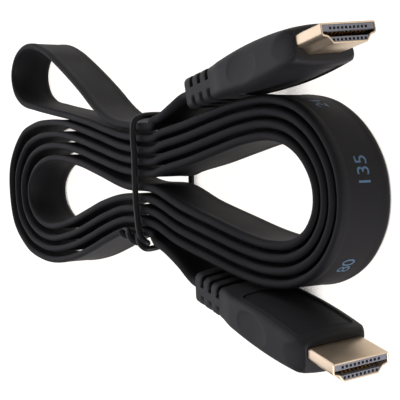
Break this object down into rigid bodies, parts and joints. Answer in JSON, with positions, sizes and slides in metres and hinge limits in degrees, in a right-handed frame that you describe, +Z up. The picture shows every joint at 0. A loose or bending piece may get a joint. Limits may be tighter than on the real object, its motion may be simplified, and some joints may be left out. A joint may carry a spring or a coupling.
{
  "type": "hdmi cable",
  "caption": "Flat HDMI lead with a moulded full-size plug at each end, wound into a hank of nested loops and held by a twist tie.",
  "frame": {"origin": "middle of the floor rectangle that the hank covers, at floor level", "axes": "+X along the hank towards the two plug mouths, +Y across it towards the side with the single loop, +Z up; the flat lead stands on its narrow edge"},
  "size_m": [0.198, 0.0798, 0.0231],
  "materials": {
    "lead_jacket": "matte black soft PVC jacket with rounded edges",
    "plug_mould": "matte charcoal moulded PVC, faint grain",
    "plug_shell": "pale champagne-gold plated steel, satin",
    "contact_block": "slate-grey moulded plastic",
    "contact_metal": "bright gold plated contact",
    "tie_coating": "black plastic coated wire, slight sheen"
  },
  "bodies": {
    "root": {"flat_lead": "lead_jacket", "twist_tie": "tie_coating", "plug_a_mould": "plug_mould", "plug_a_shell": "plug_shell", "plug_a_block": "contact_block", "plug_a_contact_upper_1": "contact_metal", "plug_a_contact_upper_2": "contact_metal", "plug_a_contact_upper_3": "contact_metal", "plug_a_contact_upper_4": "contact_metal", "plug_a_contact_upper_5": "contact_metal", "plug_a_contact_upper_6": "contact_metal", "plug_a_contact_upper_7": "contact_metal", "plug_a_contact_upper_8": "contact_metal", "plug_a_contact_upper_9": "contact_metal", "plug_a_contact_upper_10": "contact_metal", "plug_a_contact_lower_1": "contact_metal", "plug_a_contact_lower_2": "contact_metal", "plug_a_contact_lower_3": "contact_metal", "plug_a_contact_lower_4": "contact_metal", "plug_a_contact_lower_5": "contact_metal", "plug_a_contact_lower_6": "contact_metal", "plug_a_contact_lower_7": "contact_metal", "plug_a_contact_lower_8": "contact_metal", "plug_a_contact_lower_9": "contact_metal", "plug_b_mould": "plug_mould", "plug_b_shell": "plug_shell", "plug_b_block": "contact_block", "plug_b_contact_upper_1": "contact_metal", "plug_b_contact_upper_2": "contact_metal", "plug_b_contact_upper_3": "contact_metal", "plug_b_contact_upper_4": "contact_metal", "plug_b_contact_upper_5": "contact_metal", "plug_b_contact_upper_6": "contact_metal", "plug_b_contact_upper_7": "contact_metal", "plug_b_contact_upper_8": "contact_metal", "plug_b_contact_upper_9": "contact_metal", "plug_b_contact_upper_10": "contact_metal", "plug_b_contact_lower_1": "contact_metal", "plug_b_contact_lower_2": "contact_metal", "plug_b_contact_lower_3": "contact_metal", "plug_b_contact_lower_4": "contact_metal", "plug_b_contact_lower_5": "contact_metal", "plug_b_contact_lower_6": "contact_metal", "plug_b_contact_lower_7": "contact_metal", "plug_b_contact_lower_8": "contact_metal", "plug_b_contact_lower_9": "contact_metal"}
  },
  "joints": []
}
